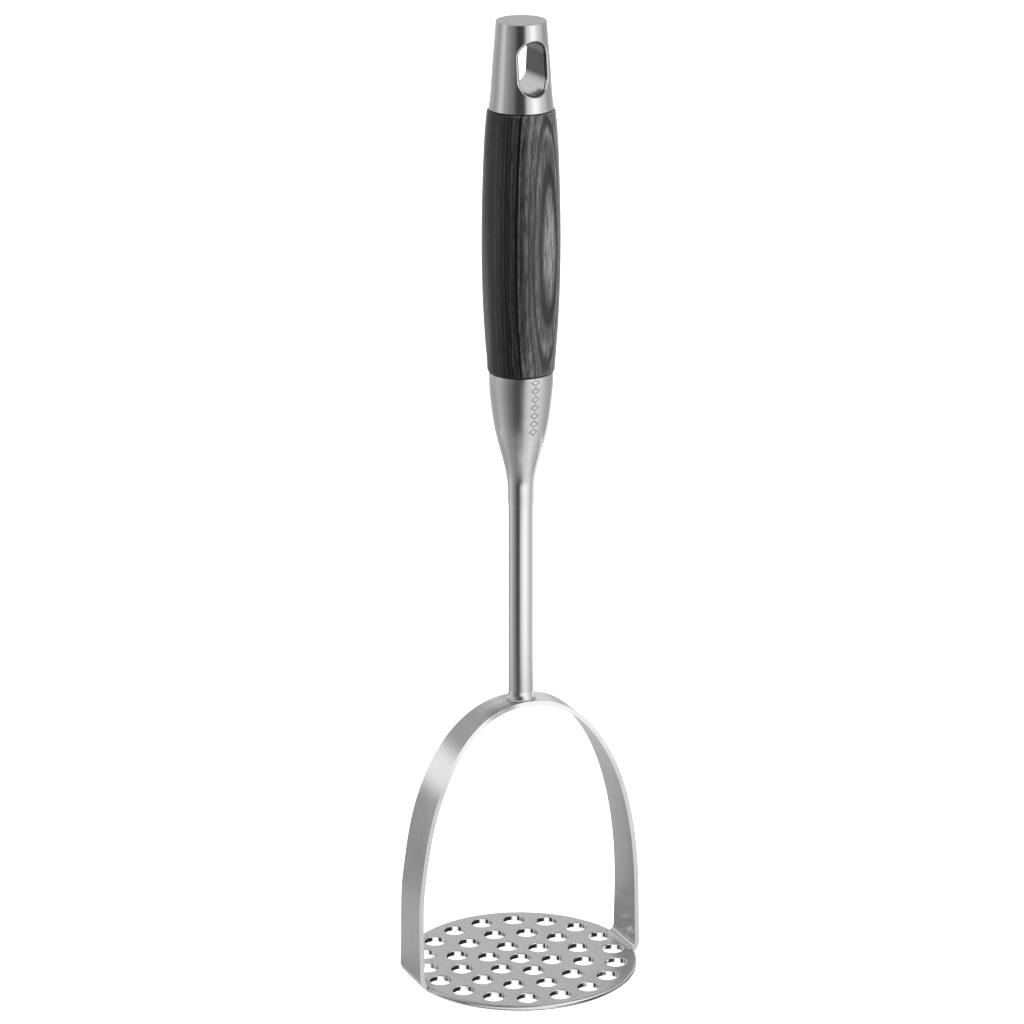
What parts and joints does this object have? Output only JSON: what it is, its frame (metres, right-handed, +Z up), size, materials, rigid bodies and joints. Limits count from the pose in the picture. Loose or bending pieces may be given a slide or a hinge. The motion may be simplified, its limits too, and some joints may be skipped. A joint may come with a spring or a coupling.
{
  "type": "potato masher",
  "caption": "Hand masher: flat perforated round disk on an arched steel strap, a round shank and flared bolster, a dark wooden barrel grip and a steel end cap with a hanging slot.",
  "frame": {"origin": "centre of the underside of the mashing disk, on the handle's axis", "axes": "+Z up along the handle; the arch of the strap lies in the XZ plane, with its feet at +X and -X"},
  "size_m": [0.0824, 0.08, 0.33],
  "materials": {
    "disk_steel": "satin, fine blasted top with polished hole edges",
    "strap_steel": "satin, brushed along its length",
    "weld_steel": "polished weld",
    "shank_steel": "semi-polished",
    "bolster_steel": "fine turned satin",
    "cap_steel": "fine turned satin",
    "tang_steel": "plain threaded rod",
    "grip_wood": "dark laminated wood, satin sealed",
    "adhesive": "cured epoxy",
    "seal": "thin dark sealing bead"
  },
  "bodies": {
    "root": {"masher_disk": "disk_steel", "yoke_strap": "strap_steel", "foot_weld_left": "weld_steel", "foot_weld_right": "weld_steel", "shank_weld": "weld_steel", "shank_rod": "shank_steel", "bolster": "bolster_steel", "tang": "tang_steel", "lower_seal": "seal", "wood_grip": "grip_wood", "grip_adhesive": "adhesive", "upper_seal": "seal", "end_cap": "cap_steel"}
  },
  "joints": []
}
